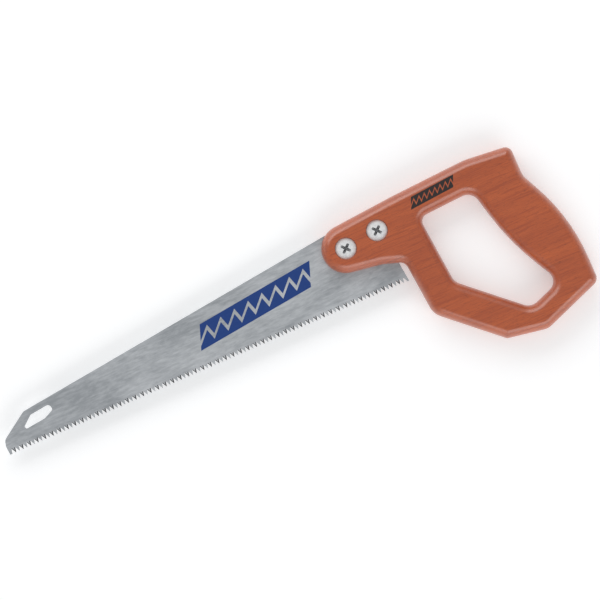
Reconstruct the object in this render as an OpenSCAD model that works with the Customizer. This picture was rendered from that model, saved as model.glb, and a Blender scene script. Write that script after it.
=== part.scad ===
// Drywall saw: a tapered, toothed steel blade held in the sawn kerf of a closed
// wooden handle by two saw bolts, each screwed into a domed barrel nut.
//
// Frame: the saw lies flat. X runs along the tooth line from the toe to the handle,
// Y from the teeth to the spine, and Z up through the thickness of the handle.
// The origin is midway between the two bolts, on the handle's lower flat face.

/* [Blade] */
// Length of the blade along its tooth line
blade_l = 384.4; // [310:0.1:465]
// Thickness of the blade
blade_t = 0.9; // [0.7:0.05:1.2]
// Height of the blade, tooth tips to spine, where the toe bevel begins
toe_h = 30.6; // [27:0.1:37]
// Height of the blade, tooth tips to spine, midway between the bolts
butt_h = 69.3; // [66:0.1:72]
// Height of the bolt line above the tooth tips
bolt_line_h = 50.1; // [47:0.1:52]
// Length of the slanted toe bevel, along X
toe_bevel_l = 25.7; // [21:0.1:31]
// Radius where the spine meets the toe bevel
toe_r = 6; // [2:0.5:12]

/* [Teeth] */
// Distance from one tooth to the next, seven teeth to the inch
tooth_pitch = 3.6286; // [3:0.0001:4.4]
// Depth of a gullet below the tooth tips
tooth_depth = 4.5; // [3.6:0.1:5.4]
// Flat land left on each tooth tip
tip_land = 0.25; // [0.15:0.01:0.4]
// Lean of a tooth's handle-side flank from square
rake_angle = 11; // [5:0.5:14]
// How far the filed bevel cuts into each flank, across the thickness
fleam = 0.9; // [0.5:0.05:1.1]
// How far each tooth tip is bent out of the plate, to one side and the other in turn
tooth_set = 0.25; // [0.1:0.01:0.4]
// Blunt length left ahead of the first tooth
toe_land = 2; // [1:0.1:5]

/* [Hanging slot] */
// Length of the slot along the spine
slot_l = 28.8; // [24:0.1:34.6]
// Width of the slot
slot_w = 9; // [7.5:0.1:10.8]
// Distance of the slot from the spine
slot_inset = 5.8; // [4.8:0.1:7]
// Distance of the slot from the end of the toe bevel, negative towards the toe
slot_start = -5.6; // [-6:0.1:20]

/* [Handle] */
// Length of the handle, nose to butt
handle_l = 215; // [179:0.5:258]
// Height of the handle, crest to foot
handle_h = 166.2; // [139:0.1:200]
// Thickness of the handle
handle_t = 22; // [18:0.5:27]
// Radius of the round nose about the front bolt
nose_r = 21.6; // [18.5:0.1:25]
// Width of the front rail, throat edge to hand hole
front_rail_w = 30.6; // [25:0.1:37]
// Width of the top rail, top edge to hand hole
top_rail_w = 28; // [24:0.1:33]
// Width of the slanted rail below the hand hole
foot_rail_w = 33; // [27:0.1:40]
// Width of the short rail below the grip
heel_rail_w = 24; // [20:0.1:29]
// Width of the grip at its top, back edge to hand hole
grip_top_w = 47; // [40:0.1:56]
// Width of the grip at its foot, back edge to hand hole
grip_foot_w = 33.3; // [29:0.1:41]
// How far the butt stands out behind the top of the handle
butt_flare = 24.3; // [20:0.1:29]
// Radius that the edges of the handle are rounded to
edge_r = 11.4; // [8:0.1:13.6]
// Angle of the crease left where the rounding meets the flat face
crease = 20; // [10:1:35]

/* [Bolts] */
// Distance between the two bolts
bolt_spacing = 31.6; // [27:0.1:38]
// Distance from the rear bolt to the heel of the blade, along X
heel_margin = 8.8; // [7.5:0.1:12]
// Diameter of a bolt head and of a nut head
head_d = 18.8; // [15:0.1:22.5]
// Height of the straight rim under a domed head
head_rim = 0.8; // [0.4:0.1:1.2]
// Height of the dome above its rim
head_dome = 1.9; // [1.2:0.1:2.4]
// How far the top of a head lies below the wood
head_sink = 0.3; // [0.1:0.1:1]
// Diameter of the bolt shank
shank_d = 6; // [5:0.1:7.2]
// Outer diameter of the nut's barrel
barrel_d = 9; // [8.5:0.1:10.8]
// Width across the wings of the cross recess in a bolt head
recess_w = 11; // [9:0.1:13]
// Width of one wing of the cross recess
wing_w = 2.4; // [1.8:0.1:3]
// Depth of the cross recess at its centre
recess_depth = 3.2; // [2:0.1:3.8]
// Width of the screwdriver slot in a nut head
nut_slot_w = 1.6; // [1.2:0.1:2.2]
// Depth of the screwdriver slot, measured from the top of the dome
nut_slot_depth = 1.4; // [0.8:0.1:1.6]

/* [Clearances] */
// Gap between the blade and each wall of the kerf
kerf_gap = 0.05; // [0.02:0.01:0.15]
// Gap between the heel of the blade and the bottom of the kerf
kerf_run = 0.8; // [0.4:0.1:2]
// Gap all round a head in its counterbore
head_gap = 0.3; // [0.2:0.05:0.8]
// Gap all round a shank or a barrel in its bore
bore_gap = 0.15; // [0.05:0.05:0.3]
// Gap all round the shank's thread in the nut's bore
thread_gap = 0.05; // [0.02:0.01:0.1]
// Gap between the tip of a shank and the floor of the nut's bore
tip_gap = 0.8; // [0.4:0.1:1.5]

/* [Hidden] */
$fn = 96;
overshoot = 1;            // length by which a cutting tool passes a face

// ---- levels through the thickness ----
mid_z = handle_t / 2;
head_h = head_rim + head_dome;
seat_depth = head_h + head_sink;
bolt_seat_z = handle_t - seat_depth;
nut_seat_z = seat_depth;

// ---- the blade's own lines ----
tip_y = -bolt_line_h;
gullet_y = tip_y + tooth_depth;
spine_y = butt_h - bolt_line_h;
heel_lean = 2;            // how far the heel leans forward, tooth line to handle
heel_lean_h = 18;         // height over which the heel leans
heel_r = 8;               // radius of the heel's hidden top corner
toe_nose_out = 0.7;       // how far the toe's blunt nose stands ahead of its first tooth
toe_nose_h = 8;           // height of that nose above the tooth tips
toe_brow_in = 0.8;        // how far the brow above the nose lies back
toe_brow_h = 13.9;        // height of the brow above the tooth tips
tooth_root_r = 0.1;       // radius of the corners that the tooth row starts and ends in
heel_tip_r = 0.3;         // radius of the heel's corner on the tooth line
heel_lean_r = 60;         // radius where the heel stops leaning
toe_brow_r = 6;           // radius of the toe's brow
toe_nose_r = 4;           // radius of the toe's nose

// The spine's slope comes from its two heights. The bolts lie parallel to it, and the
// heel lies behind the rear bolt, so both are settled by repeated substitution.
function heel_at(slope) = bolt_spacing / 2 * cos(slope) + heel_margin;
function slope_at(slope) =
    atan((butt_h - toe_h) / (blade_l - heel_at(slope) - toe_bevel_l));
spine_a = slope_at(slope_at(slope_at(0)));
heel_x = heel_at(spine_a);
toe_x = heel_x - blade_l;
bolt_x = bolt_spacing / 2 * cos(spine_a);
bolt_y = bolt_spacing / 2 * sin(spine_a);
bevel_x = toe_x + toe_bevel_l;
function spine_at(x) = spine_y + x * tan(spine_a);

// ---- tooth layout ----
rake_run = tooth_depth * tan(rake_angle);
back_run = tooth_pitch - tip_land - rake_run;
first_gullet_x = toe_x + toe_land + rake_run;
tooth_count = floor((heel_x - first_gullet_x - back_run - toe_land / 2) / tooth_pitch);
last_gullet_x = first_gullet_x + tooth_count * tooth_pitch;

// ---- rounded outlines ----
// An outline is a list of corners [x, y, radius] with the wood or steel on the left of
// its direction of travel. It can be drawn moved into the material by a depth, with
// the same number of points at every depth. deepest is the greatest depth that the same
// outline is drawn at, so that its arcs are given room there too.
sharpest = 0.35;          // smallest radius that a corner is drawn with
arc_fill = 0.998;         // share of a side that its two arcs may fill
arc_step = 12;            // most turn covered by one straight piece of a drawn arc
arc_error = 0.1;          // most that such a piece strays from its arc

function wrap(list, i) = list[(i + len(list)) % len(list)];
function spot(corner) = [corner.x, corner.y];
function heading(a, b) = (spot(b) - spot(a)) / norm(spot(b) - spot(a));
function left_of(v) = [-v.y, v.x];
function turned(v, a) = [v.x * cos(a) - v.y * sin(a), v.x * sin(a) + v.y * cos(a)];
function turn_between(u, v) = atan2(u.x * v.y - u.y * v.x, u * v);
function bend(outline, i) = turn_between(
    heading(wrap(outline, i - 1), wrap(outline, i)),
    heading(wrap(outline, i), wrap(outline, i + 1)));
function half_turn(outline, i) = tan(abs(bend(outline, i)) / 2);
function side(outline, i) = norm(spot(wrap(outline, i + 1)) - spot(wrap(outline, i)));

// A corner's arc reaches along its two sides. A left-hand corner that is drawn deeper
// than its radius takes up at least its least reach.
function least_reach(outline, i, deepest) =
    bend(outline, i) > 0 && deepest > 0 ? (deepest + sharpest) * half_turn(outline, i) : 0;
function reach(outline, i, deepest) =
    max(wrap(outline, i)[2] * half_turn(outline, i), least_reach(outline, i, deepest));

// The share that side i has room for of what its two arcs want beyond their least, so
// that a radius is cut down only where the wall beside it is too short.
function room(outline, i, deepest) =
    let (
        least = least_reach(outline, i, deepest) + least_reach(outline, i + 1, deepest),
        wanted = reach(outline, i, deepest) + reach(outline, i + 1, deepest)
    )
    wanted <= side(outline, i) ? 1 : max(0, (side(outline, i) - least) / (wanted - least));
function fitted_r(outline, i, deepest) =
    let (
        least = least_reach(outline, i, deepest),
        spare = reach(outline, i, deepest) - least,
        share = min(room(outline, i - 1, deepest), room(outline, i, deepest))
    )
    arc_fill * min(wrap(outline, i)[2], (least + share * spare) / half_turn(outline, i));

function arc_pieces(bend, r) =
    max(1, ceil(abs(bend) / min(arc_step, 2 * acos(1 - arc_error / max(r, 1)))));

function corner_arc(p, before, after, bend, r, depth) =
    let (
        sense = sign(bend),
        n0 = left_of(before),
        n1 = left_of(after),
        tip = p + depth * (n0 + n1) / (1 + n0 * n1),
        arc_r = max(r - sense * depth, sharpest),
        centre = tip - before * arc_r * tan(abs(bend) / 2) + n0 * sense * arc_r,
        pieces = arc_pieces(bend, r)
    )
    [for (j = [0 : pieces]) centre - sense * arc_r * turned(n0, bend * j / pieces)];

function drawn(outline, depth = 0, deepest = 0) = [
    for (i = [0 : len(outline) - 1])
        let (
            a = wrap(outline, i - 1),
            b = wrap(outline, i),
            c = wrap(outline, i + 1)
        )
        each corner_arc(spot(b), heading(a, b), heading(b, c), bend(outline, i),
                        fitted_r(outline, i, deepest), depth)
];

// ---- the handle's outer outline, travelled anticlockwise ----
top_a = 4.6;              // rise of the top edge over the bolts
brow_a = 3.1;             // rise of the top edge towards the crest
crest_fall_a = 5.6;       // fall of the top edge behind the crest
belly_a = 9;              // fall of the nose's lower edge towards the throat
throat_a = 18.5;          // steeper fall of that edge beside the throat
front_a = 5.2;            // lean of the front rail
foot_a = 42;              // fall of the slanted foot
sole_a = 9.9;             // fall of the short sole
heel_a = 20.5;            // rise from the sole to the butt
back_a = 26;              // lean of the back below its hollow
throat_gap = 3;           // clearance between the blade's heel and the throat corner
belly_lead = 15.5;        // how far ahead of the heel the nose's lower edge steepens
brow_lag = 14;            // how far behind the heel the top edge eases towards the crest
crest_lead = 67;          // how far ahead of the butt the crest lies
hollow_drop = 33.5;       // how far below the crest the back's hollow lies
butt_rise = 21.4;         // height of the butt's corner above the foot
heel_run = 57.4;          // length along X of the slope from the sole to the butt
sole_run = 37;            // length of the sole along X

// radii of the outer corners
belly_r = 40;
throat_r = 8;
chin_r = 18;
foot_r = 5;
sole_r = 14;
butt_r = 8;
back_r = 170;
hollow_r = 20;
top_back_r = 7;
crest_r = 60;
brow_r = 400;

nose_x = -bolt_x - nose_r;
butt_x = nose_x + handle_l;
back_x = butt_x - butt_flare;
// height of the line at angle a that touches the nose circle, above (+1) or below (-1)
function nose_line(x, a, above) = -bolt_y + above * nose_r / cos(a) + (x + bolt_x) * tan(a);

brow_x = heel_x + brow_lag;
crest_x = butt_x - crest_lead;
crest_y = nose_line(brow_x, top_a, 1) + (crest_x - brow_x) * tan(brow_a);
foot_y = crest_y - handle_h;
throat_x = heel_x + throat_gap;
belly_x = heel_x - belly_lead;
belly_y = nose_line(belly_x, -belly_a, -1);
throat_y = belly_y - (throat_x - belly_x) * tan(throat_a);
butt_y = foot_y + butt_rise;
sole_x = butt_x - heel_run;
foot_x = sole_x - sole_run;
sole_end_y = foot_y + sole_run * tan(sole_a);
// the slanted foot runs up from the sole until it meets the front rail
front_t = (foot_x - throat_x - (throat_y - sole_end_y) * tan(front_a))
    / (1 / tan(foot_a) - tan(front_a));
chin_x = foot_x - front_t / tan(foot_a);
chin_y = sole_end_y + front_t;
hollow_y = crest_y - hollow_drop;

outer_outline = [
    [nose_x, nose_line(nose_x, top_a, 1), nose_r],
    [nose_x, nose_line(nose_x, -belly_a, -1), nose_r],
    [belly_x, belly_y, belly_r],
    [throat_x, throat_y, throat_r],
    [chin_x, chin_y, chin_r],
    [foot_x, sole_end_y, foot_r],
    [sole_x, foot_y, sole_r],
    [butt_x, butt_y, butt_r],
    [butt_x, hollow_y - butt_flare / tan(back_a), back_r],
    [back_x, hollow_y, hollow_r],
    [back_x, crest_y - (back_x - crest_x) * tan(crest_fall_a), top_back_r],
    [crest_x, crest_y, crest_r],
    [brow_x, nose_line(brow_x, top_a, 1), brow_r]
];

// ---- the hand hole, travelled clockwise, each side a rail's width inside ----
function meet(p, u, q, v) =
    p + u * ((q.x - p.x) * v.y - (q.y - p.y) * v.x) / (u.x * v.y - u.y * v.x);
function along(a) = [cos(a), sin(a)];

grip_foot_rise = 16;      // height above the butt's corner at which grip_foot_w is measured
grip_swell_in = [6.2, 4.2];  // how far the grip's swell stands into the hand hole

rail_top = [crest_x, crest_y] + top_rail_w * along(brow_a - 90);
rail_front = [throat_x, throat_y] + front_rail_w * along(-front_a);
rail_foot = [foot_x, sole_end_y] + foot_rail_w * along(90 - foot_a);
rail_heel = [sole_x, foot_y] + heel_rail_w * along(90 + heel_a);
grip_top = [back_x - grip_top_w, crest_y - top_rail_w];
grip_foot = [butt_x - grip_foot_w, butt_y + grip_foot_rise];
grip_swell = (grip_top + grip_foot) / 2 - grip_swell_in;

hole_outline = [
    meet(rail_top, along(brow_a), rail_front, along(90 + front_a)),
    meet(rail_top, along(brow_a), grip_top, grip_swell - grip_top),
    grip_swell,
    meet(grip_swell, grip_foot - grip_swell, rail_heel, along(heel_a)),
    meet(rail_heel, along(heel_a), rail_foot, along(-foot_a)),
    meet(rail_foot, along(-foot_a), rail_front, along(90 + front_a))
];
hole_radii = [7, 11.5, 230, 10, 12, 12];  // one for each corner, in the same order
hole_corners = [for (i = [0 : len(hole_outline) - 1])
    [hole_outline[i].x, hole_outline[i].y, hole_radii[i]]];

// ---- the rounded edge: depth into the wood against height ----
round_steps = 5;
round_a = 90 - crease;
least_wall = 0.5;         // straight wall always left between the two roundings
round_r = min(edge_r, (handle_t - least_wall) / 2 / sin(round_a));
edge_w = round_r * (1 - cos(round_a));
wall_z = round_r * sin(round_a);
core_lap = 1;             // how far the rounded rim reaches into the flat core
rim_depth = edge_w + core_lap;
function rim_point(j) = round_r * [1 - cos(round_a * j / round_steps),
                                  sin(round_a * j / round_steps)];
rim_profile = concat(
    [[rim_depth, 0]],
    [for (j = [round_steps : -1 : 0]) [rim_point(j).x, wall_z - rim_point(j).y]],
    [for (j = [0 : round_steps]) [rim_point(j).x, handle_t - wall_z + rim_point(j).y]],
    [[rim_depth, handle_t]]
);

module rounded_rim(outline) {
    count = len(drawn(outline, 0, rim_depth));
    levels = len(rim_profile);
    polyhedron(
        points = [for (level = rim_profile) each [
            for (p = drawn(outline, level.x, rim_depth)) [p.x, p.y, level.y]]],
        faces = [for (i = [0 : levels - 1], j = [0 : count - 1])
            let (above = (i + 1) % levels, next = (j + 1) % count)
            [i * count + j, above * count + j, above * count + next, i * count + next]]
    );
}

module at_bolts() {
    for (side = [-1, 1]) {
        translate([side * bolt_x, side * bolt_y, 0]) children();
    }
}

// Counterbore, shank bore and barrel bore for one bolt and its nut
module bolt_bores() {
    translate([0, 0, bolt_seat_z])
        cylinder(d = head_d + 2 * head_gap, h = seat_depth + overshoot);
    translate([0, 0, mid_z - overshoot])
        cylinder(d = shank_d + 2 * bore_gap, h = handle_t / 2);
    translate([0, 0, -overshoot])
        cylinder(d = head_d + 2 * head_gap, h = seat_depth + overshoot);
    translate([0, 0, nut_seat_z - overshoot])
        cylinder(d = barrel_d + 2 * bore_gap, h = mid_z - nut_seat_z + overshoot);
}

// The kerf is sawn with a disc that enters at the nose and stops behind the heel
kerf_disc_r = 125;
kerf_mid_y = (spine_at(heel_x) + throat_y) / 2;
kerf_half = spine_at(heel_x) - kerf_mid_y;
kerf_sag = kerf_disc_r - sqrt(pow(kerf_disc_r, 2) - pow(kerf_half, 2));
kerf_bottom_x = heel_x + kerf_run + kerf_sag;

module kerf() {
    width = blade_t + 2 * kerf_gap;
    translate([kerf_bottom_x - kerf_disc_r, kerf_mid_y, mid_z - width / 2])
        cylinder(r = kerf_disc_r, h = width, $fn = 360);
}

module handle() {
    core_depth = edge_w + core_lap / 2;
    color("peru") difference() {
        union() {
            linear_extrude(handle_t) difference() {
                polygon(drawn(outer_outline, core_depth, rim_depth));
                polygon(drawn(hole_corners, core_depth, rim_depth));
            }
            rounded_rim(outer_outline);
            rounded_rim(hole_corners);
        }
        kerf();
        at_bolts() bolt_bores();
    }
}

// ---- blade ----
blade_outline = [
    [toe_x, tip_y, tooth_root_r],
    [toe_x + toe_land, tip_y, tooth_root_r],
    [first_gullet_x, gullet_y, tooth_root_r],
    [last_gullet_x, gullet_y, tooth_root_r],
    [last_gullet_x + back_run, tip_y, tooth_root_r],
    [heel_x, tip_y, heel_tip_r],
    [heel_x - heel_lean, tip_y + heel_lean_h, heel_lean_r],
    [heel_x - heel_lean, spine_at(heel_x), heel_r],
    [bevel_x, spine_at(bevel_x), toe_r],
    [toe_x + toe_brow_in, tip_y + toe_brow_h, toe_brow_r],
    [toe_x - toe_nose_out, tip_y + toe_nose_h, toe_nose_r]
];

// The hanging slot is an opening along the spine with two slanted corners
slot_cut_l = 9.6;         // length of each slant along the spine
slot_toe_h = 2.8;         // height of the slot's upright toe end
slot_heel_cut_h = 3.2;    // height of the slant at its other end
slot_end_r = 1.6;         // radius of its sharper corners
slot_cut_r = 2.5;         // radius where a slant meets a long side
slot_nose_r = 3.2;        // radius of its corner nearest to the spine and the handle

slot_corners = [
    [-slot_l / 2, -slot_w / 2 + slot_toe_h, slot_end_r],
    [-slot_l / 2 + slot_cut_l, slot_w / 2, slot_cut_r],
    [slot_l / 2, slot_w / 2, slot_nose_r],
    [slot_l / 2, -slot_w / 2 + slot_heel_cut_h, slot_end_r],
    [slot_l / 2 - slot_cut_l, -slot_w / 2, slot_cut_r],
    [-slot_l / 2, -slot_w / 2, slot_end_r]
];

module hanging_slot() {
    translate([bevel_x, spine_at(bevel_x), mid_z - blade_t])
        rotate(spine_a)
        translate([slot_start + slot_l / 2, -slot_inset - slot_w / 2, 0])
        linear_extrude(2 * blade_t)
        polygon(drawn(slot_corners));
}

// One tooth, pointing along -Y. Its flanks are filed at a slant, so the face on the
// side that it is set to (side = 1 is up) keeps the full width and the other is less.
module tooth(side) {
    slant = rake_run + back_run + tip_land - 2 * fleam;
    short_depth = slant * tooth_depth / (rake_run + back_run);
    apex_x = fleam + slant * back_run / (rake_run + back_run);
    full_z = side * blade_t / 2;
    less_z = -side * blade_t / 2;
    tip_shift = side * tooth_set;
    apex_shift = tip_shift * short_depth / tooth_depth;
    points = [
        [0, 0, full_z],
        [tooth_pitch, 0, full_z],
        [tooth_pitch - rake_run, -tooth_depth, full_z + tip_shift],
        [back_run, -tooth_depth, full_z + tip_shift],
        [fleam, 0, less_z],
        [tooth_pitch - fleam, 0, less_z],
        [apex_x, -short_depth, less_z + apex_shift]
    ];
    faces = [[0, 1, 2, 3], [4, 6, 5], [0, 3, 6, 4], [1, 5, 6, 2], [3, 2, 6], [0, 4, 5, 1]];
    flipped = [for (f = faces) [for (i = [len(f) - 1 : -1 : 0]) f[i]]];
    polyhedron(points, side > 0 ? faces : flipped);
}

module blade() {
    color("lightsteelblue") difference() {
        union() {
            translate([0, 0, mid_z - blade_t / 2])
                linear_extrude(blade_t)
                polygon(drawn(blade_outline));
            for (i = [0 : tooth_count - 1]) {
                translate([first_gullet_x + i * tooth_pitch, gullet_y, mid_z])
                    tooth(i % 2 == 0 ? -1 : 1);
            }
        }
        hanging_slot();
        at_bolts() translate([0, 0, mid_z - blade_t])
            cylinder(d = shank_d + 2 * bore_gap, h = 2 * blade_t);
    }
}

// ---- fasteners ----
recess_turn = 42;         // how far the cross recess came to rest from X
nut_slot_turn = 35;       // how far the nut's slot came to rest from X

// A shallow dome on a straight rim, standing on z = 0
module domed_head() {
    dome_r = (pow(head_d / 2, 2) + pow(head_dome, 2)) / (2 * head_dome);
    intersection() {
        cylinder(d = head_d, h = head_h);
        translate([0, 0, head_h - dome_r]) sphere(r = dome_r);
    }
}

// Cross recess: two wings whose floors slope down to the centre
module cross_recess() {
    intersection() {
        translate([0, 0, head_h - recess_depth])
            cylinder(r1 = wing_w / 2, r2 = recess_w / 2, h = recess_depth);
        union() {
            for (turn = [0, 90]) {
                rotate(turn)
                    translate([-recess_w / 2, -wing_w / 2, head_h - recess_depth])
                    cube([recess_w, wing_w, recess_depth]);
            }
        }
    }
}

module saw_bolt() {
    shank_l = bolt_seat_z - nut_seat_z + head_rim - tip_gap;
    color("silver") translate([0, 0, bolt_seat_z]) difference() {
        union() {
            domed_head();
            translate([0, 0, -shank_l]) cylinder(d = shank_d, h = shank_l);
        }
        rotate(recess_turn) cross_recess();
    }
}

// The nut: a domed head below, and a barrel that reaches up to just short of the blade
module barrel_nut() {
    barrel_top_z = mid_z - blade_t / 2 - kerf_gap - bore_gap;
    bore_floor_z = nut_seat_z - head_rim;
    color("silver") difference() {
        union() {
            translate([0, 0, nut_seat_z]) mirror([0, 0, 1]) domed_head();
            translate([0, 0, nut_seat_z]) cylinder(d = barrel_d, h = barrel_top_z - nut_seat_z);
        }
        translate([0, 0, bore_floor_z])
            cylinder(d = shank_d + 2 * thread_gap, h = barrel_top_z - bore_floor_z + overshoot);
        rotate(nut_slot_turn)
            translate([-head_d / 2, -nut_slot_w / 2, -overshoot])
            cube([head_d, nut_slot_w, overshoot + head_sink + nut_slot_depth]);
    }
}

module front_bolt() {
    translate([-bolt_x, -bolt_y, 0]) saw_bolt();
}

module rear_bolt() {
    translate([bolt_x, bolt_y, 0]) saw_bolt();
}

module front_nut() {
    translate([-bolt_x, -bolt_y, 0]) barrel_nut();
}

module rear_nut() {
    translate([bolt_x, bolt_y, 0]) barrel_nut();
}

handle();
blade();
front_bolt();
rear_bolt();
front_nut();
rear_nut();
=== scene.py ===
import math

import bmesh
import bpy
from mathutils import Matrix, Vector


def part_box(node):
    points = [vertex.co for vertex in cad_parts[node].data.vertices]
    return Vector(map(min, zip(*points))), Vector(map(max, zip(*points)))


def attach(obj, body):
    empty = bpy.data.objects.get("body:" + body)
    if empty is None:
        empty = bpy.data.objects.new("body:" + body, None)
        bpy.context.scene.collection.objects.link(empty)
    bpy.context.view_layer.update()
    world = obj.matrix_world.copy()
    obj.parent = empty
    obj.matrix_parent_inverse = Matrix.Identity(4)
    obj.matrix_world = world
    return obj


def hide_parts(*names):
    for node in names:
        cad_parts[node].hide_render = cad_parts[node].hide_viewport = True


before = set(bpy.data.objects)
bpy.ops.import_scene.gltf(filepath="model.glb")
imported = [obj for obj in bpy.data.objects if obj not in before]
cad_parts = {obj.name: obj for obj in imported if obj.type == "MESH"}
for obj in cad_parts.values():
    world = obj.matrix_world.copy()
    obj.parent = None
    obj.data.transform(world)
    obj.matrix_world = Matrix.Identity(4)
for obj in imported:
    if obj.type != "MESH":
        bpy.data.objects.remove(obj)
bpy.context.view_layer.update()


# ---- Wooden handle ----
# One board of beech, band-sawn to a closed grip. A cutter has run round both faces and
# the hand hole, deep enough to leave almost no straight wall and a crease on each face.
# A kerf sawn in from the nose takes the blade, and two stepped bores the bolts and nuts.
MM = 0.001
handle_low, handle_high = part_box("handle")
board_t = handle_high.z - handle_low.z


def middle(node):
    """Centre of a CAD node's box."""
    low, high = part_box(node)
    return (low + high) / 2


front_bolt = middle("front_bolt")
rear_bolt = middle("rear_bolt")
heel_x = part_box("blade")[1].x

crest_to_foot = 166.2 * MM
front_rail_w = 30.6 * MM
top_rail_w = 28 * MM
foot_rail_w = 33 * MM
heel_rail_w = 24 * MM
grip_top_w = 47 * MM
grip_foot_w = 33.3 * MM
grip_swell_in = Vector((6.2, 4.2)) * MM
butt_flare = 24.3 * MM
butt_rise = 21.4 * MM
hollow_drop = 33.5 * MM
hole_end_rise = 16 * MM
throat_gap = 3 * MM
foot_l = 37 * MM
brow_past_heel = 14 * MM
belly_before_heel = 15.5 * MM
crest_before_butt = 67 * MM
sole_before_butt = 57.4 * MM


def rise(degrees):
    """Rise per length of a line at that angle."""
    return math.tan(math.radians(degrees))


def along(degrees):
    """Unit vector at that angle from X."""
    return Vector((math.cos(math.radians(degrees)), math.sin(math.radians(degrees))))


def nose_line(x, degrees, side):
    """Height at x of the line at that angle that touches the round nose, on its upper side (1)
    or its lower one (-1)."""
    lift = side * nose_r / math.cos(math.radians(degrees))
    return front_bolt.y + lift + (x - front_bolt.x) * rise(degrees)


def meet(p, u, q, v):
    """Point where the line through p along u crosses the line through q along v."""
    return p + u * ((q - p).cross(v) / u.cross(v))


# Angles of the outer edges, in degrees: over the bolts, to the crest, behind it, under the
# nose, beside the throat, front rail, slanted foot, sole, heel and back.
top_a, brow_a, crest_fall_a = 4.6, 3.1, 5.6
belly_a, throat_a, front_a = 9, 18.5, 5.2
foot_a, sole_a, heel_a, back_a = 42, 9.9, 20.5, 26

nose_x = handle_low.x
butt_x = handle_high.x
nose_r = front_bolt.x - nose_x
back_x = butt_x - butt_flare
brow_x = heel_x + brow_past_heel
brow = Vector((brow_x, nose_line(brow_x, top_a, 1)))
crest_x = butt_x - crest_before_butt
crest = Vector((crest_x, brow.y + (crest_x - brow.x) * rise(brow_a)))
foot_y = crest.y - crest_to_foot
belly_x = heel_x - belly_before_heel
belly = Vector((belly_x, nose_line(belly_x, -belly_a, -1)))
throat_x = heel_x + throat_gap
throat = Vector((throat_x, belly.y - (throat_x - belly.x) * rise(throat_a)))
butt_y = foot_y + butt_rise
sole = Vector((butt_x - sole_before_butt, foot_y))
foot = sole + foot_l * Vector((-1, rise(sole_a)))
chin = meet(foot, along(180 - foot_a), throat, along(front_a - 90))
hollow_y = crest.y - hollow_drop

# Each corner's place and radius, from the nose down and round by the foot and the butt.
outer_corners = [
    (nose_x, nose_line(nose_x, top_a, 1), nose_r),
    (nose_x, nose_line(nose_x, -belly_a, -1), nose_r),
    (belly.x, belly.y, 40 * MM),
    (throat.x, throat.y, 8 * MM),
    (chin.x, chin.y, 18 * MM),
    (foot.x, foot.y, 5 * MM),
    (sole.x, sole.y, 14 * MM),
    (butt_x, butt_y, 8 * MM),
    (butt_x, hollow_y - butt_flare / rise(back_a), 170 * MM),
    (back_x, hollow_y, 20 * MM),
    (back_x, crest.y - (back_x - crest.x) * rise(crest_fall_a), 7 * MM),
    (crest.x, crest.y, 60 * MM),
    (brow.x, brow.y, 400 * MM),
]

# The hand hole lies a rail's width inside, travelled the other way so that the wood is
# on its left too.
rail_top = crest + top_rail_w * along(brow_a - 90)
rail_front = throat + front_rail_w * along(-front_a)
rail_foot = foot + foot_rail_w * along(90 - foot_a)
rail_heel = sole + heel_rail_w * along(90 + heel_a)
grip_top = Vector((back_x - grip_top_w, crest.y - top_rail_w))
grip_foot = Vector((butt_x - grip_foot_w, butt_y + hole_end_rise))
grip_swell = (grip_top + grip_foot) / 2 - grip_swell_in
front_line = along(90 + front_a)
hole_spots = [
    meet(rail_top, along(brow_a), rail_front, front_line),
    meet(rail_top, along(brow_a), grip_top, grip_swell - grip_top),
    grip_swell,
    meet(grip_swell, grip_foot - grip_swell, rail_heel, along(heel_a)),
    meet(rail_heel, along(heel_a), rail_foot, along(-foot_a)),
    meet(rail_foot, along(-foot_a), rail_front, front_line),
]
hole_radii = [7 * MM, 11.5 * MM, 230 * MM, 10 * MM, 12 * MM, 12 * MM]
hole_corners = [(spot.x, spot.y, r) for spot, r in zip(hole_spots, hole_radii)]


def outline_at(corners, depth, arc_step=4, sharpest=0.35 * MM):
    """Points of a rounded outline moved into its material, which lies on its left, by depth.
    Every depth has the same points. A corner sharper than the depth becomes a mitre."""
    points = []
    for i, (x, y, radius) in enumerate(corners):
        corner = Vector((x, y))
        before = (corner - Vector(corners[i - 1][:2])).normalized()
        after = (Vector(corners[(i + 1) % len(corners)][:2]) - corner).normalized()
        turn = math.atan2(before.cross(after), before.dot(after))
        sense = math.copysign(1, turn)
        inward = Vector((-before.y, before.x))
        inward_after = Vector((-after.y, after.x))
        corner += depth * (inward + inward_after) / (1 + inward.dot(inward_after))
        arc_r = max(radius - sense * depth, sharpest)
        centre = corner - before * arc_r * math.tan(abs(turn) / 2) + inward * sense * arc_r
        steps = math.ceil(abs(math.degrees(turn)) / arc_step)
        for step in range(steps + 1):
            spoke = Matrix.Rotation(turn * step / steps, 2) @ inward
            points.append(centre - spoke * sense * arc_r)
    return points


def ring_wall(bm, rings):
    """A wall through rings of points, each drawn out of the last one by an extrusion.
    Returns the edges of its first ring and of its last."""
    place = bm.verts.layers.int.get("place") or bm.verts.layers.int.new("place")
    verts = bmesh.ops.create_circle(bm, segments=len(rings[0]), radius=1)["verts"]
    for i, vert in enumerate(verts):
        vert[place] = i
        vert.co = rings[0][i]
    edges = list(dict.fromkeys(edge for vert in verts for edge in vert.link_edges))
    first = edges
    for ring in rings[1:]:
        grown = bmesh.ops.extrude_edge_only(bm, edges=edges)["geom"]
        verts = [item for item in grown if isinstance(item, bmesh.types.BMVert)]
        for vert in verts:
            vert.co = ring[vert[place]]
        new = set(verts)
        edges = [item for item in grown
                 if isinstance(item, bmesh.types.BMEdge) and new.issuperset(item.verts)]
    return first, edges


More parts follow.
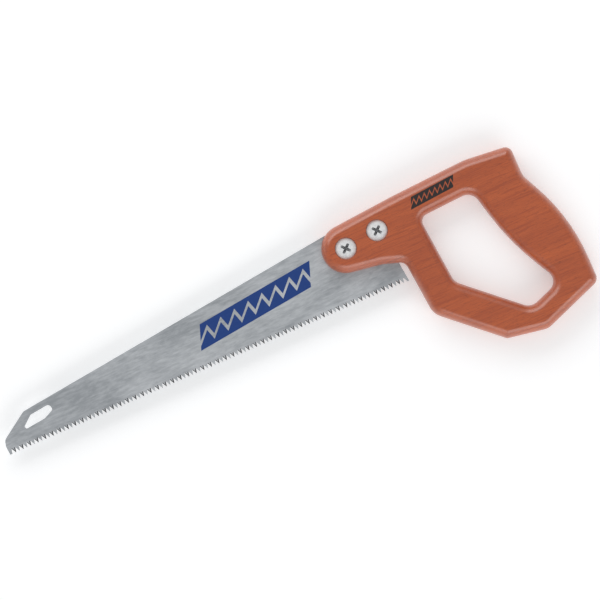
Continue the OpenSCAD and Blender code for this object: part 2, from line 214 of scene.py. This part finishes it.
def spun(bm, profile, centre, steps=64):
    """Turns a profile of (radius, height) once round the upright axis through centre.
    Returns the edges of its first end and of its last."""
    verts = [bm.verts.new((centre.x + r, centre.y, z)) for r, z in profile]
    edges = [bm.edges.new(pair) for pair in zip(verts, verts[1:])]
    bmesh.ops.spin(bm, geom=verts + edges, cent=centre, axis=(0, 0, 1),
                   angle=math.tau, steps=steps, use_merge=True)
    ends = []
    for r, z in (profile[0], profile[-1]):
        ends.append([edge for edge in bm.edges if all(
            abs(vert.co.z - z) < 1e-7
            and abs((vert.co - centre).xy.length - r) < 1e-6 for vert in edge.verts)])
    return ends


sharp_a = 35


def new_piece(name, bm, sharp_past=sharp_a):
    """Turns a finished bmesh into an object, shaded smooth but for edges past sharp_past."""
    bmesh.ops.recalc_face_normals(bm, faces=bm.faces)
    mesh = bpy.data.meshes.new(name)
    bm.to_mesh(mesh)
    bm.free()
    mesh.shade_smooth()
    mesh.set_sharp_from_angle(angle=math.radians(sharp_past))
    piece = bpy.data.objects.new(name, mesh)
    bpy.context.scene.collection.objects.link(piece)
    return piece


def cut(piece, cutter):
    """Cuts the cutter's shape out of a piece for good, and removes the cutter. The cut faces
    take the cutter's material."""
    saw = piece.modifiers.new("cut", "BOOLEAN")
    saw.operation = "DIFFERENCE"
    saw.solver = "EXACT"
    saw.material_mode = "TRANSFER"
    saw.object = cutter
    seen = piece.evaluated_get(bpy.context.evaluated_depsgraph_get())
    mesh = bpy.data.meshes.new_from_object(seen)
    piece.modifiers.clear()
    piece.data = mesh
    mesh.set_sharp_from_angle(angle=math.radians(sharp_a))
    bpy.data.objects.remove(cutter)


# The rounded edge, as (depth into the wood, height) from the bottom face to the top one.
# A narrow flat strip inside each crease keeps the faces' shading flat.
edge_r = 11.4 * MM
crease_a = 20
edge_steps = 9
crease_strip = 0.25 * MM
edge_sweep = math.radians(90 - crease_a)
edge_w = edge_r * (1 - math.cos(edge_sweep))
edge_h = edge_r * math.sin(edge_sweep)
rounding = [(edge_r * (1 - math.cos(edge_sweep * step / edge_steps)),
             edge_h - edge_r * math.sin(edge_sweep * step / edge_steps))
            for step in range(edge_steps, -1, -1)]
lower_edge = [(edge_w + crease_strip, 0)] + rounding
edge_profile = lower_edge + [(depth, board_t - z) for depth, z in reversed(lower_edge)]

# Each bore: counterbore for the head, shank bore, barrel bore and the nut's counterbore.
head_r = (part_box("front_bolt")[1].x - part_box("front_bolt")[0].x) / 2
head_gap = 0.3 * MM
seat_depth = 3 * MM
shank_bore_r = 3.15 * MM
barrel_bore_r = 4.65 * MM
rim_chamfer = 0.25 * MM
counterbore_r = head_r + head_gap
bore_profile = [
    (counterbore_r + rim_chamfer, board_t),
    (counterbore_r, board_t - rim_chamfer),
    (counterbore_r, board_t - seat_depth),
    (shank_bore_r, board_t - seat_depth),
    (shank_bore_r, board_t / 2),
    (barrel_bore_r, board_t / 2),
    (barrel_bore_r, seat_depth),
    (counterbore_r, seat_depth),
    (counterbore_r, rim_chamfer),
    (counterbore_r + rim_chamfer, 0),
]

board = bmesh.new()
bottom_edges, top_edges = [], []
for corners in (outer_corners, hole_corners):
    rings = [[point.to_3d() + Vector((0, 0, z)) for point in outline_at(corners, depth)]
             for depth, z in edge_profile]
    first, last = ring_wall(board, rings)
    bottom_edges += first
    top_edges += last
for bolt in (front_bolt, rear_bolt):
    first, last = spun(board, bore_profile, bolt)
    top_edges += first
    bottom_edges += last
for edges, up in ((bottom_edges, -1), (top_edges, 1)):
    bmesh.ops.triangle_fill(board, use_beauty=True, edges=edges, normal=(0, 0, up))
handle = new_piece("wooden_handle", board)

# The kerf is the cut of a large disc saw that stops behind the blade's heel.
kerf_w = 1.0 * MM
kerf_room = 0.8 * MM
kerf_disc_r = 125 * MM
kerf_top_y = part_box("blade")[1].y
kerf_mid_y = (kerf_top_y + throat.y) / 2
kerf_sag = kerf_disc_r - math.sqrt(kerf_disc_r ** 2 - (kerf_top_y - kerf_mid_y) ** 2)
kerf_bottom_x = heel_x + kerf_room + kerf_sag
disc = bmesh.new()
bmesh.ops.create_cone(disc, cap_ends=True, segments=360, radius1=kerf_disc_r,
                      radius2=kerf_disc_r, depth=kerf_w)
bmesh.ops.translate(disc, verts=disc.verts,
                    vec=(kerf_bottom_x - kerf_disc_r, kerf_mid_y, board_t / 2))
cut(handle, new_piece("kerf_disc", disc))


def add_node(tree, kind, values=None, **settings):
    """Adds a shader node. values fill its inputs by name or number, as links or constants."""
    made = tree.nodes.new(kind)
    for key, setting in settings.items():
        setattr(made, key, setting)
    for key, value in (values or {}).items():
        if isinstance(value, bpy.types.NodeSocket):
            tree.links.new(value, made.inputs[key])
        else:
            made.inputs[key].default_value = value
    return made


def new_finish(name):
    """An empty node material. Returns it, its tree, its shader and its object coordinates."""
    material = bpy.data.materials.new(name)
    material.use_nodes = True
    tree = material.node_tree
    shader = tree.nodes["Principled BSDF"]
    place = add_node(tree, "ShaderNodeTexCoord").outputs["Object"]
    return material, tree, shader, place


def stretched(tree, place, scale, shift=(0, 0, 0)):
    """Object coordinates stretched so that a pattern on them is long where scale is small."""
    return add_node(tree, "ShaderNodeMapping",
                    {"Vector": place, "Scale": scale, "Location": shift}).outputs["Vector"]


def noise(tree, place, scale, detail, rough=0.5, distort=0):
    """Soft noise, from 0 to 1, with scale features to the metre."""
    return add_node(tree, "ShaderNodeTexNoise",
                    {"Vector": place, "Scale": scale, "Detail": detail,
                     "Roughness": rough, "Distortion": distort}).outputs["Fac"]


def remap(tree, value, low, high, to_low=0.0, to_high=1.0):
    """Maps low..high to to_low..to_high and holds it there."""
    return add_node(tree, "ShaderNodeMapRange",
                    {"Value": value, "From Min": low, "From Max": high,
                     "To Min": to_low, "To Max": to_high}).outputs["Result"]


def combine(tree, operation, a, b):
    """One step of arithmetic on two values."""
    return add_node(tree, "ShaderNodeMath", {0: a, 1: b}, operation=operation).outputs[0]


def blend_colour(tree, share, a, b):
    """Mixes colour a with colour b by share."""
    return add_node(tree, "ShaderNodeMix", {"Factor": share, 6: a, 7: b},
                    data_type="RGBA").outputs[2]


def raise_surface(tree, shader, height, distance, strength):
    """Bumps the shader's surface by height times distance, in metres."""
    bump = add_node(tree, "ShaderNodeBump",
                    {"Height": height, "Distance": distance, "Strength": strength})
    tree.links.new(bump.outputs["Normal"], shader.inputs["Normal"])


def lacquered_beech():
    """Beech stained red-brown under a satin lacquer, with its grain along X: broad soft bands,
    thin growth lines, fine fibre, and the short dark dashes of beech's rays, which become
    dots where an edge cuts across the grain."""
    material, tree, shader, place = new_finish("lacquered_beech")
    warm = (0.580, 0.113, 0.022, 1)
    deep = (0.380, 0.060, 0.012, 1)
    dark = (0.165, 0.029, 0.009, 1)
    bands = noise(tree, stretched(tree, place, (0.10, 1, 1)), 60, 4, 0.55, 0.6)
    colour = blend_colour(tree, remap(tree, bands, 0.36, 0.68, 0, 0.55), warm, deep)
    rings = noise(tree, stretched(tree, place, (0.05, 1, 0.6)), 700, 3, 0.6, 0.3)
    ring_line = remap(tree, rings, 0.50, 0.64, 0, 0.65)
    colour = blend_colour(tree, ring_line, colour, deep)
    streaks = noise(tree, stretched(tree, place, (0.025, 1, 0.3), (0.2, 0.4, 0.1)), 300, 2)
    colour = blend_colour(tree, remap(tree, streaks, 0.66, 0.74, 0, 0.4), colour, dark)
    fibre = noise(tree, stretched(tree, place, (0.03, 1, 1)), 2400, 2)
    colour = blend_colour(tree, remap(tree, fibre, 0.3, 0.7, 0, 0.22), colour, dark)
    dashes = noise(tree, stretched(tree, place, (0.11, 1, 1), (0.3, 0.1, 0.2)), 2600, 1)
    dash = remap(tree, dashes, 0.61, 0.70, 0, 0.5)
    colour = blend_colour(tree, dash, colour, dark)
    tree.links.new(colour, shader.inputs["Base Color"])
    dull_patches = noise(tree, place, 90, 3)
    tree.links.new(remap(tree, dull_patches, 0.3, 0.7, 0.34, 0.46), shader.inputs["Roughness"])
    shader.inputs["Coat Weight"].default_value = 1.0
    shader.inputs["Coat Roughness"].default_value = 0.28
    shader.inputs["Specular IOR Level"].default_value = 0.6
    grain = combine(tree, "SUBTRACT", combine(tree, "MULTIPLY", fibre, 0.5), dash)
    raise_surface(tree, shader, grain, 0.03 * MM, 0.6)
    return material


handle.data.materials.clear()  # the cut leaves an empty slot
handle.data.materials.append(lacquered_beech())
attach(handle, "root")
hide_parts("handle")


# ---- Saw blade ----
# A tapered plate of hardened and tempered spring steel, stamped with its hanging slot and
# bolt holes. The teeth are filed at a slant, so that each comes to a point on one face,
# and are bent out to the two sides in turn. The tang lies in the handle's kerf.
blade_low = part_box("blade")[0]
blade_t = 0.9 * MM
plate_z = board_t / 2 - blade_t / 2
tooth_pitch = 25.4 * MM / 7
tooth_depth = 4.5 * MM
tip_land = 0.25 * MM
fleam = 0.9 * MM
tooth_set = 0.25 * MM
rake_a = 11
toe_land = 2 * MM
heel_land = 1 * MM
toe_nose_out = 0.7 * MM
toe_nose_h = 8 * MM
toe_bevel_l = 25.7 * MM
toe_bevel_in = 0.8 * MM
toe_bevel_h = 13.9 * MM
toe_h = 30.6 * MM
butt_h = 69.3 * MM
tang_inset = 2 * MM
tang_slope_h = 18 * MM
stamped_r = 0.1 * MM
tip_y = blade_low.y
gullet_y = tip_y + tooth_depth
toe_x = blade_low.x + toe_nose_out
bevel_x = toe_x + toe_bevel_l
spine_a = math.degrees(math.atan((butt_h - toe_h) / -bevel_x))
rake_run = tooth_depth * rise(rake_a)
back_run = tooth_pitch - tip_land - rake_run
first_gullet_x = toe_x + toe_land + rake_run
tooth_count = math.floor((heel_x - first_gullet_x - back_run - heel_land) / tooth_pitch)
last_gullet_x = first_gullet_x + tooth_count * tooth_pitch


def spine_at(x):
    """Height of the spine above the bolts' line at x."""
    return tip_y + butt_h + x * rise(spine_a)


# Each corner's place and radius, from the last tooth by the heel, tang and toe to the first.
plate_corners = [
    (last_gullet_x + back_run, tip_y, stamped_r),
    (heel_x, tip_y, 0.3 * MM),
    (heel_x - tang_inset, tip_y + tang_slope_h, 60 * MM),
    (heel_x - tang_inset, spine_at(heel_x), 8 * MM),
    (bevel_x, spine_at(bevel_x), 6 * MM),
    (toe_x + toe_bevel_in, tip_y + toe_bevel_h, 6 * MM),
    (toe_x - toe_nose_out, tip_y + toe_nose_h, 4 * MM),
    (toe_x, tip_y, stamped_r),
    (toe_x + toe_land, tip_y, stamped_r),
]


def root_points(up):
    """Where the teeth stand on the plate, on its upper or lower face. A tooth that is set to
    that face has the whole pitch there, and the next one less by the filed slant."""
    points = []
    for tooth in range(tooth_count):
        start_x = first_gullet_x + tooth * tooth_pitch
        slant = 0 if bool(tooth % 2) == up else fleam
        points.append(Vector((start_x + slant, gullet_y)))
        points.append(Vector((start_x + tooth_pitch - slant, gullet_y)))
    return points


last_gullet = (last_gullet_x, gullet_y, 0)
first_gullet = (first_gullet_x, gullet_y, 0)
plate_edge = outline_at([last_gullet] + plate_corners + [first_gullet], 0,
                        arc_step=6, sharpest=0.05 * MM)

# The hanging slot lies along the spine at the toe, with two of its corners cut slantwise.
slot_l = 28.8 * MM
slot_w = 9 * MM
slot_inset = 5.8 * MM
slot_start = -5.6 * MM
slot_cut_l = 9.6 * MM
slot_toe_h = 2.8 * MM
slot_heel_h = 3.2 * MM
slot_left = -slot_l / 2
slot_low = -slot_w / 2
slot_corners = [
    (slot_left, slot_low + slot_toe_h, 1.6 * MM),
    (slot_left + slot_cut_l, slot_w / 2, 2.5 * MM),
    (slot_l / 2, slot_w / 2, 3.2 * MM),
    (slot_l / 2, slot_low + slot_heel_h, 1.6 * MM),
    (slot_l / 2 - slot_cut_l, slot_low, 2.5 * MM),
    (slot_left, slot_low, 1.6 * MM),
]
slot_place = (Matrix.Translation((bevel_x, spine_at(bevel_x), 0))
              @ Matrix.Rotation(math.radians(spine_a), 4, "Z")
              @ Matrix.Translation((slot_start + slot_l / 2, -slot_inset - slot_w / 2, 0)))
slot_edge = [slot_place @ point.to_3d() for point in outline_at(slot_corners, 0, arc_step=10)]


def at_height(points, z):
    """The same points, at that height."""
    return [Vector((point.x, point.y, z)) for point in points]


plate = bmesh.new()
plate_top = plate_z + blade_t
outer_first, outer_last = ring_wall(plate, [
    at_height(plate_edge + root_points(False), plate_z),
    at_height(plate_edge + root_points(True), plate_top)])
place_layer = plate.verts.layers.int["place"]
root_place = len(plate_edge)


def tooth_of(face):
    """Which tooth stands on a face of the plate's edge, or None."""
    places = {vert[place_layer] - root_place for vert in face.verts}
    if min(places) < 0 or max(places) - min(places) != 1 or min(places) % 2:
        return None
    return min(places) // 2


tooth_roots = [face for face in plate.faces if tooth_of(face) is not None]
slot_first, slot_last = ring_wall(plate, [at_height(slot_edge, plate_z),
                                          at_height(slot_edge, plate_top)])
bottom_edges = outer_first + slot_first
top_edges = outer_last + slot_last
for bolt in (front_bolt, rear_bolt):
    first, last = spun(plate, [(shank_bore_r, plate_z), (shank_bore_r, plate_top)], bolt, 32)
    bottom_edges += first
    top_edges += last
for edges, up in ((bottom_edges, -1), (top_edges, 1)):
    bmesh.ops.triangle_fill(plate, use_beauty=True, edges=edges, normal=(0, 0, up))

# Each tooth is drawn out of the plate's edge. Its full face ends in the tip's flat land
# and its other face in a point, so both flanks are slanted as the file leaves them.
slant_w = rake_run + back_run + tip_land - 2 * fleam
short_depth = slant_w * tooth_depth / (rake_run + back_run)
apex_x = fleam + slant_w * back_run / (rake_run + back_run)
for face in bmesh.ops.extrude_discrete_faces(plate, faces=tooth_roots)["faces"]:
    tooth = tooth_of(face)
    start_x = first_gullet_x + tooth * tooth_pitch
    lean = tooth_set if tooth % 2 else -tooth_set
    for vert in face.verts:
        at_end = (vert[place_layer] - root_place) % 2
        if (vert.co.z > board_t / 2) == (lean > 0):
            vert.co.x = start_x + (tooth_pitch - rake_run if at_end else back_run)
            vert.co.y = tip_y
            vert.co.z += lean
        else:
            vert.co.x = start_x + apex_x
            vert.co.y = gullet_y - short_depth
            vert.co.z += lean * short_depth / tooth_depth
bmesh.ops.remove_doubles(plate, verts=plate.verts, dist=0.001 * MM)
bmesh.ops.recalc_face_normals(plate, faces=plate.faces)

# The stamped edges above the teeth are eased a little.
stamp_ease = 0.13 * MM
eased = [edge for edge in plate.edges
         if edge.calc_face_angle(0) > math.radians(60)
         and min(vert.co.y for vert in edge.verts) > gullet_y + 0.3 * MM
         and abs(edge.verts[0].co.z - edge.verts[1].co.z) < 0.01 * MM]
bmesh.ops.bevel(plate, geom=eased, offset=stamp_ease, segments=2, profile=0.5,
                affect="EDGES", material=-1)
for face in plate.faces:
    face.normal_update()
    below = face.calc_center_median().y < gullet_y + 0.02 * MM
    face.material_index = 1 if below and abs(face.normal.z) < 0.9 else 0
blade = new_piece("saw_blade", plate, sharp_past=20)


def brushed_steel(name, light, shade, line_scale, line_stretch, cloud_share, rough):
    """Ground steel, brushed in one direction and lightly oiled, so that it shows fine lines
    and soft clouds between a light and a shade colour."""
    material, tree, shader, place = new_finish(name)
    clouds = noise(tree, stretched(tree, place, (0.45, 1, 1)), 34, 5, 0.68, 0.4)
    lines = noise(tree, stretched(tree, place, line_stretch), line_scale, 3, 0.6)
    broad = noise(tree, stretched(tree, place, (0.22, 1, 1)), 420, 3, 0.65)
    line_share = 0.25
    broad_share = 0.4
    mixed = combine(tree, "MULTIPLY", clouds, cloud_share)
    mixed = combine(tree, "ADD", mixed, combine(tree, "MULTIPLY", lines, line_share))
    mixed = combine(tree, "ADD", mixed, combine(tree, "MULTIPLY", broad, broad_share))
    middle_value = (cloud_share + line_share + broad_share) / 2
    share = remap(tree, mixed, middle_value - 0.15, middle_value + 0.15)
    tree.links.new(blend_colour(tree, share, light, shade), shader.inputs["Base Color"])
    roughness = remap(tree, mixed, middle_value - 0.3, middle_value + 0.3,
                      rough - 0.05, rough + 0.06)
    tree.links.new(roughness, shader.inputs["Roughness"])
    # Less metallic than real steel: full metal mirrors the lamps and is lost against the
    # white table when it is seen from low down.
    shader.inputs["Metallic"].default_value = 0.38
    raise_surface(tree, shader, lines, 0.004 * MM, 0.5)
    return material


# The plate is brushed along its length. The teeth's flanks are coloured near black and
# filed across its thickness.
plate_light = (0.66, 0.68, 0.70, 1)
plate_shade = (0.37, 0.39, 0.41, 1)
flank_light = (0.13, 0.13, 0.135, 1)
flank_shade = (0.05, 0.05, 0.055, 1)
plate_steel = brushed_steel("brushed_plate", plate_light, plate_shade,
                            5200, (0.012, 1, 1), cloud_share=0.8, rough=0.42)
filed_steel = brushed_steel("filed_flanks", flank_light, flank_shade,
                            6000, (1, 1, 0.05), cloud_share=0.2, rough=0.3)
blade.data.materials.append(plate_steel)
blade.data.materials.append(filed_steel)
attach(blade, "root")
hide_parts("blade")


# ---- Printed marks ----
# A blue bar with saw teeth screened on the blade and a small black one stamped on the
# handle's top rail: plain patterns, each a thin film of ink.
film_t = 0.02 * MM
mark_teeth = 8
blade_mark_spot = Vector((-109, -16)) * MM
blade_mark_l = 112 * MM
blade_mark_h = 21 * MM
handle_mark_spot = Vector((73.7, 13.3)) * MM
handle_mark_l = 42 * MM
handle_mark_h = 10 * MM
blue = (0.013, 0.051, 0.225, 1)
worn_blue = (0.035, 0.085, 0.28, 1)
black = (0.028, 0.022, 0.022, 1)
worn_black = (0.12, 0.04, 0.02, 1)


def tooth_bar(name, centre, turn, length, height, teeth, surface_z):
    """A slanted bar of ink with a zigzag gap that parts it into two rows of teeth."""
    lean = 0.25 * height
    gap = 0.1 * height
    peak = 0.24 * height
    step = length / teeth
    bm = bmesh.new()
    for side in (1, -1):
        outline = [Vector((length / 2 + side * lean, side * height / 2)),
                   Vector((-length / 2 + side * lean, side * height / 2))]
        for tooth in range(2 * teeth + 1):
            y = side * gap + (peak if tooth % 2 else -peak)
            outline.append(Vector((-length / 2 + tooth * step / 2 + lean * 2 * y / height, y)))
        face = bm.faces.new([bm.verts.new(point.to_3d()) for point in outline])
        grown = bmesh.ops.extrude_face_region(bm, geom=[face])["geom"]
        bmesh.ops.translate(bm, vec=(0, 0, film_t), verts=[
            item for item in grown if isinstance(item, bmesh.types.BMVert)])
    bmesh.ops.rotate(bm, verts=bm.verts, matrix=Matrix.Rotation(math.radians(turn), 3, "Z"))
    low = min(vert.co.z for vert in bm.verts)
    bmesh.ops.translate(bm, verts=bm.verts, vec=(centre.x, centre.y, surface_z - low))
    return new_piece(name, bm)


def ink(name, colour, worn, rough, wear_scale):
    """A thin satin print, a little uneven and worn."""
    material, tree, shader, place = new_finish(name)
    uneven = noise(tree, stretched(tree, place, (0.4, 1, 1)), wear_scale, 4, 0.6)
    share = remap(tree, uneven, 0.55, 0.85, 0, 0.5)
    tree.links.new(blend_colour(tree, share, colour, worn), shader.inputs["Base Color"])
    tree.links.new(remap(tree, uneven, 0.3, 0.7, rough, rough + 0.12), shader.inputs["Roughness"])
    shader.inputs["Specular IOR Level"].default_value = 0.4
    raise_surface(tree, shader, uneven, 0.01 * MM, 0.4)
    return material


blade_mark = tooth_bar("blade_mark", blade_mark_spot, spine_a, blade_mark_l, blade_mark_h,
                       mark_teeth, plate_top)
blade_mark.data.materials.append(ink("blue_print", blue, worn_blue, 0.32, 900))
handle_mark = tooth_bar("handle_mark", handle_mark_spot, top_a, handle_mark_l, handle_mark_h,
                        mark_teeth, board_t)
handle_mark.data.materials.append(ink("black_print", black, worn_black, 0.5, 1500))
for mark in (blade_mark, handle_mark):
    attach(mark, "root")


# ---- Saw bolts and barrel nuts ----
# Each bolt is turned from steel bar: a shallow domed head with a pressed cross recess and
# a threaded shank. It screws into a barrel nut with a slotted domed head on the far side.
# Both are plated bright, over the fine rings that the turning tool left.
head_rim = 0.8 * MM
head_dome = 1.9 * MM
dome_end = 0.965
rim_ease = 0.15 * MM
shank_r = 3 * MM
barrel_r = 4.5 * MM
bore_gap = 0.05 * MM
end_ease = 0.4 * MM
thread_pitch = 1.0 * MM
thread_depth = 0.5 * MM
seat_z = board_t - seat_depth
dome_top_z = seat_z + head_rim + head_dome
nut_seat_z = seat_depth
nut_dome_z = nut_seat_z - head_rim - head_dome
shank_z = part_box("front_bolt")[0].z
barrel_top_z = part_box("front_nut")[1].z


def dome_profile(steps=16):
    """(radius, height above its seat) of a head, from the top of its dome to its seat. The
    dome ends just short of the rim, which leaves a small chamfer."""
    dome_r = (head_r ** 2 + head_dome ** 2) / (2 * head_dome)
    sweep = dome_end * math.asin(head_r / dome_r)
    profile = []
    for step in range(steps + 1):
        part = sweep * step / steps
        drop = dome_r * (1 - math.cos(part))
        profile.append((dome_r * math.sin(part), head_rim + head_dome - drop))
    return profile + [(head_r, head_rim - rim_ease), (head_r, rim_ease),
                      (head_r - rim_ease, 0)]


def turned(profile, centre):
    """A closed body turned from a profile whose ends lie on its axis."""
    bm = bmesh.new()
    spun(bm, profile, centre, 72)
    bmesh.ops.remove_doubles(bm, verts=bm.verts, dist=0.001 * MM)
    return bm


def wing_cutter(centre, turn, length, width, top_z, depth, floor_l):
    """A tapered punch, length by width at the top and floor_l long at its floor."""
    floor_w = 0.7 * width
    corner_r = 0.3 * width
    bm = bmesh.new()
    bmesh.ops.create_cube(bm, size=1)
    for vert in bm.verts:
        low = vert.co.z < 0
        vert.co.x *= floor_l if low else length
        vert.co.y *= floor_w if low else width
        vert.co.z = top_z - depth if low else top_z
    uprights = [edge for edge in bm.edges
                if abs(edge.verts[0].co.z - edge.verts[1].co.z) > depth / 2]
    bmesh.ops.bevel(bm, geom=uprights, offset=corner_r, segments=3, profile=0.5,
                    affect="EDGES", material=-1)
    bmesh.ops.rotate(bm, verts=bm.verts, matrix=Matrix.Rotation(math.radians(turn), 3, "Z"))
    bmesh.ops.translate(bm, verts=bm.verts, vec=(centre.x, centre.y, 0))
    return new_piece("punch", bm)


def ease_edges(piece, width):
    """Rounds a piece's sharp edges a little."""
    bevel = piece.modifiers.new("eased_edges", "BEVEL")
    bevel.width = width
    bevel.segments = 2
    bevel.limit_method = "ANGLE"
    bevel.angle_limit = math.radians(40)
    bevel.harden_normals = True


def bright_plate(name, centre):
    """Bright plated steel with fine rings round the piece's own axis."""
    material, tree, shader, place = new_finish(name)
    bright = (0.97, 0.97, 0.96, 1)
    smeared = (0.78, 0.79, 0.80, 1)
    centred = stretched(tree, place, (1, 1, 0), (-centre.x, -centre.y, 0))
    radius = add_node(tree, "ShaderNodeVectorMath", {0: centred}, operation="LENGTH").outputs[1]
    ringed = add_node(tree, "ShaderNodeCombineXYZ", {"X": radius}).outputs[0]
    rings = noise(tree, ringed, 5000, 2)
    smears = noise(tree, place, 420, 3, 0.6)
    colour = blend_colour(tree, remap(tree, smears, 0.35, 0.7), bright, smeared)
    tree.links.new(colour, shader.inputs["Base Color"])
    tree.links.new(remap(tree, smears, 0.3, 0.7, 0.15, 0.26), shader.inputs["Roughness"])
    # Far less metallic than real plate: full metal mirrors the dim ceiling and turns dark
    # when it is seen from above.
    shader.inputs["Metallic"].default_value = 0.15
    raise_surface(tree, shader, rings, 0.004 * MM, 0.35)
    return material


def recess_shade_finish():
    """Painted shade for the recesses: dark, mottled grey steel that stands in for their shade."""
    material, tree, shader, place = new_finish("recess_shade_finish")
    # Both greys are painted shade for the recesses, mottled by noise.
    shade_pale = (0.50, 0.50, 0.51, 1)
    shade_deep = (0.16, 0.16, 0.165, 1)
    shade_mottle = noise(tree, place, 1500, 3, 0.6)
    colour = blend_colour(tree, remap(tree, shade_mottle, 0.35, 0.65), shade_pale, shade_deep)
    tree.links.new(colour, shader.inputs["Base Color"])
    tree.links.new(remap(tree, shade_mottle, 0.3, 0.7, 0.35, 0.55), shader.inputs["Roughness"])
    shader.inputs["Metallic"].default_value = 0.8
    raise_surface(tree, shader, shade_mottle, 0.01 * MM, 0.4)
    return material


recess_turn = 42
recess_w = 11 * MM
recess_floor_w = 0.3 * recess_w
wing_w = 2.4 * MM
recess_depth = 3.2 * MM
nut_slot_turn = 35
nut_slot_l = 2.5 * head_r
nut_slot_w = 1.6 * MM
nut_slot_depth = 1.4 * MM
head_ease = 0.12 * MM

core_r = shank_r - thread_depth
neck_z = barrel_top_z + 0.6 * MM
runout_z = barrel_top_z + 0.2 * MM
bolt_profile = [(r, seat_z + z) for r, z in dome_profile()] + [
    (shank_r, seat_z),
    (shank_r, neck_z),
    (core_r, runout_z),
    (core_r, shank_z + end_ease),
    (core_r - end_ease, shank_z),
    (0, shank_z),
]
bore_r = shank_r + bore_gap
nut_profile = [(r, nut_seat_z - z) for r, z in dome_profile()] + [
    (barrel_r, nut_seat_z),
    (barrel_r, barrel_top_z - rim_ease),
    (barrel_r - rim_ease, barrel_top_z),
    (bore_r + end_ease, barrel_top_z),
    (bore_r, barrel_top_z - end_ease),
    (bore_r, nut_seat_z - head_rim),
    (0, nut_seat_z - head_rim),
]


def add_thread(bm, centre, turn_steps=20):
    """A screw thread: a three-sided ridge that climbs round the shank's core. Its root is
    sunk a little into the core."""
    root_r = core_r - 0.05 * MM
    half_root = 0.42 * thread_pitch
    start_z = shank_z + end_ease + 0.5 * thread_pitch
    verts = [bm.verts.new((centre.x + r, centre.y, start_z + z))
             for r, z in ((root_r, -half_root), (shank_r, 0), (root_r, half_root))]
    face = bm.faces.new(verts)
    turns = math.floor((barrel_top_z - shank_z - end_ease) / thread_pitch) - 1
    bmesh.ops.spin(bm, geom=[face], cent=centre, axis=(0, 0, 1), angle=math.tau * turns,
                   dvec=(0, 0, thread_pitch / turn_steps), steps=turn_steps * turns)


# The punches give the recesses' cut faces a painted shade: dark steel in place of their shade.
painted_recess_shade = recess_shade_finish()
for side, bolt in (("front", front_bolt), ("rear", rear_bolt)):
    plating = bright_plate(side + "_plating", bolt)
    shaft = turned(bolt_profile, bolt)
    add_thread(shaft, bolt)
    screw = new_piece(side + "_saw_bolt", shaft)
    nut = new_piece(side + "_barrel_nut", turned(nut_profile, bolt))
    punches = [(screw, wing_cutter(bolt, recess_turn + turn, recess_w, wing_w, dome_top_z,
                                   recess_depth, recess_floor_w)) for turn in (0, 90)]
    punches.append((nut, wing_cutter(bolt, nut_slot_turn, nut_slot_l, nut_slot_w,
                                     nut_dome_z + nut_slot_depth, 2 * nut_slot_depth,
                                     nut_slot_l)))
    for piece in (screw, nut):
        piece.data.materials.append(plating)
    for piece, punch in punches:
        punch.data.materials.append(painted_recess_shade)
        cut(piece, punch)
    for piece, cad_node in ((screw, side + "_bolt"), (nut, side + "_nut")):
        ease_edges(piece, head_ease)
        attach(piece, "root")
        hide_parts(cad_node)


# ---- Floor, light and camera ----
# The saw lies on a plain white light table between two long soft lamps, one at each side,
# under a dim ceiling. The walls behind the lamps are bright and the end walls, off the
# saw's two ends, are dimmer. The camera looks straight down from far above.
floor_reach = 8
floor_mesh = bmesh.new()
bmesh.ops.create_grid(floor_mesh, x_segments=2, y_segments=2, size=floor_reach)
floor = new_piece("floor", floor_mesh)
floor_material, _, floor_shader, _ = new_finish("floor_paint")
floor_shader.inputs["Base Color"].default_value = (0.88, 0.88, 0.88, 1)
floor_shader.inputs["Roughness"].default_value = 0.9
floor_shader.inputs["Emission Color"].default_value = (1, 1, 1, 1)
floor_shader.inputs["Emission Strength"].default_value = 0.3
floor.data.materials.append(floor_material)

world = bpy.data.worlds.new("studio")
bpy.context.scene.world = world
world.use_nodes = True
walls = world.node_tree
direction = add_node(walls, "ShaderNodeTexCoord").outputs["Generated"]
facing = add_node(walls, "ShaderNodeSeparateXYZ", {0: direction}).outputs
height = facing["Z"]
endwards = combine(walls, "MULTIPLY", facing["X"], facing["X"])
# A wall is brightest above the table, and fades up to the ceiling and down to its foot.
ceiling_glow = 0.42
foot_glow = 0.6
end_wall_glow = 0.6
glow = combine(walls, "MULTIPLY", remap(walls, height, 0.2, 0.8, 1, ceiling_glow),
               remap(walls, height, 0, 0.35, foot_glow, 1))
glow = combine(walls, "MULTIPLY", glow, remap(walls, endwards, 0.1, 0.7, 1, end_wall_glow))
backdrop = walls.nodes["Background"]
backdrop.inputs["Color"].default_value = (0.96, 0.98, 1.0, 1)
walls.links.new(glow, backdrop.inputs["Strength"])


def soft_lamp(name, spot, length, width, power):
    """A rectangular soft lamp at spot, turned to face the saw bolts, its length along X."""
    lamp = bpy.data.lights.new(name, "AREA")
    lamp.shape = "RECTANGLE"
    lamp.size = length
    lamp.size_y = width
    lamp.energy = power
    made = bpy.data.objects.new(name, lamp)
    bpy.context.scene.collection.objects.link(made)
    made.location = spot
    made.rotation_euler = (-Vector(spot)).to_track_quat("-Z", "Y").to_euler()
    made.visible_camera = False


lamp_l = 2.4
lamp_w = 0.8
soft_lamp("far_lamp", (-0.1, 1.3, 0.75), lamp_l, lamp_w, 13)
soft_lamp("near_lamp", (0.1, -1.3, 0.75), lamp_l, lamp_w, 10)

look_at = Vector((-70.8, -27.2, 11)) * MM
field_w = 529.85 * MM
camera_turn = -23.6
lens = 200
camera = bpy.data.cameras.new("camera")
camera.lens = lens
camera.sensor_width = 36
camera_object = bpy.data.objects.new("camera", camera)
bpy.context.scene.collection.objects.link(camera_object)
camera_object.location = look_at + Vector((0, 0, field_w * lens / camera.sensor_width))
camera_object.rotation_euler = (0, 0, math.radians(camera_turn))
bpy.context.scene.camera = camera_object
bpy.context.scene.view_settings.view_transform = "Standard"
